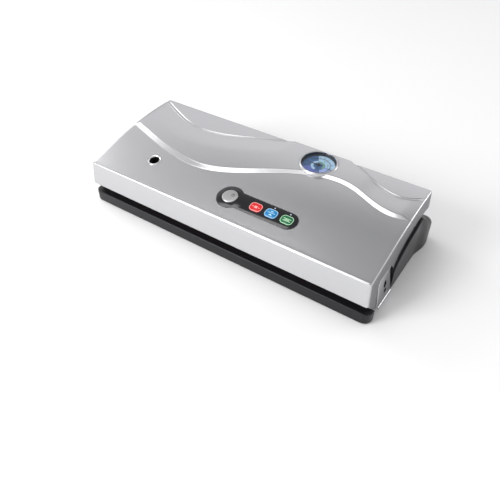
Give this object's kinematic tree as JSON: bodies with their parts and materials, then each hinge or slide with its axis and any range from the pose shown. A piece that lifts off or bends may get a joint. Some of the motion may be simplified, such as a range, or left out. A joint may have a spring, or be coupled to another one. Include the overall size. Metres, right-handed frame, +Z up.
{
  "type": "vacuum sealer",
  "caption": "Countertop vacuum sealer: long silver lid hinged over a black base, with start button, keys, vacuum gauge, hose port and side latches.",
  "frame": {"origin": "middle of the footprint, on the surface that the feet stand on", "axes": "+X along the length, to the right seen from the front; -Y is the front, where the bag goes in; +Z up"},
  "size_m": [0.404, 0.178, 0.085],
  "materials": {
    "base_plastic": "fine-grained satin black",
    "tray_plastic": "satin",
    "screw_steel": "zinc plated",
    "foot_rubber": "matt",
    "gasket_foam": "closed-cell foam, matt",
    "heater_bakelite": "matt phenolic",
    "strip_steel": "nickel-chrome ribbon",
    "ptfe": "PTFE-coated glass cloth",
    "bracket_steel": "pressed",
    "motor_steel": "plated can",
    "inner_plastic": "moulded",
    "tube_silicone": "translucent silicone",
    "transformer_core": "laminations and tape",
    "board": "solder mask",
    "inlet_plastic": "moulded",
    "lid_silver": "silver metallic paint, satin clear coat",
    "liner_plastic": "moulded",
    "pad_silicone": "silicone sponge",
    "panel_gloss": "piano black",
    "led": "diffused",
    "dial": "printed",
    "bezel_silver": "silver",
    "lens": "clear",
    "ring_chrome": "polished",
    "bush_rubber": "matt",
    "button_silver": "satin silver",
    "key_red": "gloss",
    "key_blue": "gloss",
    "key_green": "gloss",
    "needle": "gloss"
  },
  "bodies": {
    "base": {"lower_housing": "base_plastic", "bottom_cover": "base_plastic", "cover_screws": "screw_steel", "rubber_feet": "foot_rubber", "work_deck": "base_plastic", "drip_tray": "tray_plastic", "lower_gasket": "gasket_foam", "heater_bar": "heater_bakelite", "heating_strip": "strip_steel", "ptfe_tape": "ptfe", "latch_strikes": "bracket_steel", "hinge_brackets": "bracket_steel", "hinge_pins": "screw_steel", "pump_motor": "motor_steel", "pump_head": "inner_plastic", "pump_bracket": "bracket_steel", "vacuum_hose": "tube_silicone", "release_valve": "inner_plastic", "transformer": "transformer_core", "power_board": "board", "power_inlet": "inlet_plastic"},
    "lid": {"lid_shell": "lid_silver", "lid_liner": "liner_plastic", "lid_screws": "screw_steel", "upper_gasket": "gasket_foam", "seal_pad": "pad_silicone", "hinge_arms": "bracket_steel", "latch_pins": "screw_steel", "control_panel": "panel_gloss", "control_board": "board", "indicator_lights": "led", "gauge_body": "inner_plastic", "gauge_dial": "dial", "gauge_bezel": "bezel_silver", "gauge_lens": "lens", "gauge_tube": "tube_silicone", "port_ring": "ring_chrome", "port_bush": "bush_rubber", "port_tube": "tube_silicone"},
    "start_button": {"start_button": "button_silver"},
    "stop_key": {"key_red": "key_red"},
    "vacuum_key": {"key_blue": "key_blue"},
    "seal_key": {"key_green": "key_green"},
    "gauge_needle": {"gauge_needle": "needle"},
    "latch_left": {"latch_left": "lid_silver"},
    "latch_right": {"latch_right": "lid_silver"}
  },
  "joints": [
    {"name": "lid_hinge", "type": "hinge", "parent": "base", "child": "lid", "pos_m": [0, 0.064, 0.054], "axis": [-1, 0, 0], "range_deg": [0, 75]},
    {"name": "start_press", "type": "slide", "parent": "lid", "child": "start_button", "axis": [0, 0.2079, -0.9781], "range_m": [0, 0.0012], "stiffness_N_per_m": 600, "springref_m": -0.001},
    {"name": "stop_press", "type": "slide", "parent": "lid", "child": "stop_key", "axis": [0, 0.2079, -0.9781], "range_m": [0, 0.0008], "stiffness_N_per_m": 600, "springref_m": -0.001},
    {"name": "vacuum_press", "type": "slide", "parent": "lid", "child": "vacuum_key", "axis": [0, 0.2079, -0.9781], "range_m": [0, 0.0008], "stiffness_N_per_m": 600, "springref_m": -0.001},
    {"name": "seal_press", "type": "slide", "parent": "lid", "child": "seal_key", "axis": [0, 0.2079, -0.9781], "range_m": [0, 0.0008], "stiffness_N_per_m": 600, "springref_m": -0.001},
    {"name": "needle_turn", "type": "hinge", "parent": "lid", "child": "gauge_needle", "pos_m": [0.0614, 0.04387, 0.0794], "axis": [0, 0.0523, -0.9986], "range_deg": [0, 240], "stiffness_Nm_per_rad": 0.0002},
    {"name": "latch_right_swing", "type": "hinge", "parent": "lid", "child": "latch_right", "pos_m": [0.19403, -0.05, 0.044], "axis": [0, -1, 0], "range_deg": [-3, 8]},
    {"name": "latch_left_swing", "type": "hinge", "parent": "lid", "child": "latch_left", "pos_m": [-0.19403, -0.05, 0.044], "axis": [0, 1, 0], "range_deg": [-3, 8]}
  ]
}
